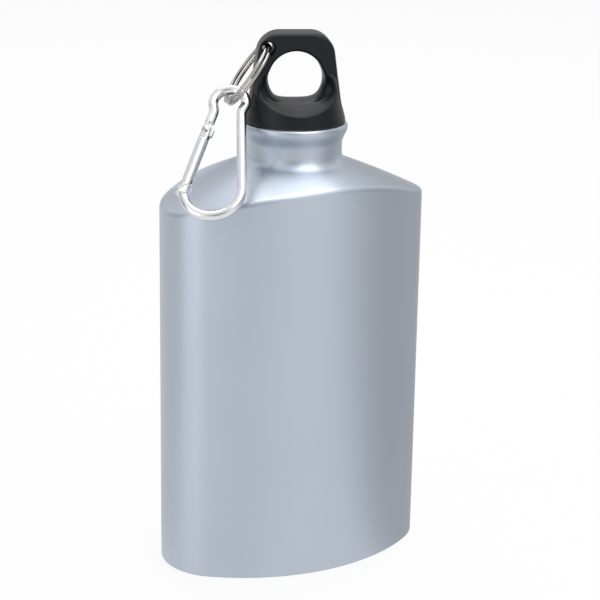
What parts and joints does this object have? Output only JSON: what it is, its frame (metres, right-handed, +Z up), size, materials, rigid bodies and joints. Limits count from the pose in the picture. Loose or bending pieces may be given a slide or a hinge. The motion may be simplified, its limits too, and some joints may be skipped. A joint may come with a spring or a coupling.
{
  "type": "canteen",
  "caption": "Flat oval metal drinking bottle with a domed shoulder, a screwed-in loop cap, a split ring and a spring-gated carabiner for clipping it to a bag.",
  "frame": {"origin": "middle of the base, on the plane the bottle stands on", "axes": "+Z up along the neck, X across the wide faces, -Y out of the wide face seen in the picture"},
  "size_m": [0.0949, 0.057, 0.1794],
  "materials": {
    "brushed_aluminium": "satin, brushed round the body",
    "natural_plastic": "moulded",
    "seal_rubber": "soft, matt",
    "black_plastic": "moulded, fine grain",
    "nickel_wire": "nickel plated",
    "polished_rod": "polished",
    "gate_metal": "satin, turned",
    "spring_steel": "bright drawn"
  },
  "bodies": {
    "bottle": {"bottle_shell": "brushed_aluminium", "neck_thread_ring": "natural_plastic"},
    "seal": {"cap_gasket": "seal_rubber"},
    "cap": {"loop_cap": "black_plastic", "cap_plug": "black_plastic"},
    "ring": {"split_ring": "nickel_wire"},
    "carabiner": {"carabiner_frame": "polished_rod"},
    "gate": {"carabiner_gate": "gate_metal", "gate_rivet": "gate_metal", "gate_spring": "spring_steel"},
    "plunger": {"gate_plunger": "spring_steel"}
  },
  "joints": [
    {"name": "cap_lift", "type": "slide", "parent": "bottle", "child": "seal", "axis": [0, 0, 1], "range_m": [0, 0.00701]},
    {"name": "cap_turn", "type": "hinge", "parent": "seal", "child": "cap", "pos_m": [0, 0, 0.15], "axis": [0, 0, 1], "range_deg": [0, 720]},
    {"name": "ring_swing", "type": "hinge", "parent": "cap", "child": "ring", "pos_m": [-0.00859, 0.0033, 0.1744], "axis": [0.3584, 0.9336, 0], "range_deg": [0, 60]},
    {"name": "carabiner_swing", "type": "hinge", "parent": "ring", "child": "carabiner", "pos_m": [-0.02133, 0.00468, 0.15671], "axis": [0.1861, 0.9529, -0.2395], "range_deg": [0, 15]},
    {"name": "gate_open", "type": "hinge", "parent": "carabiner", "child": "gate", "pos_m": [-0.03228, -0.00141, 0.1491], "axis": [-0.398, -0.5379, 0.7431], "range_deg": [0, 30], "stiffness_Nm_per_rad": 0.05, "springref_deg": -17.19},
    {"name": "plunger_push", "type": "slide", "parent": "gate", "child": "plunger", "axis": [-0.5611, -0.4982, -0.6611], "range_m": [0, 0.0011], "deforming": ["gate_spring"]}
  ],
  "couplings": [
    {"joint": "cap_lift", "follows": "cap_turn", "m_per_rad": 0.00055704},
    {"joint": "plunger_push", "follows": "gate_open", "m_per_rad": 0.0019}
  ]
}
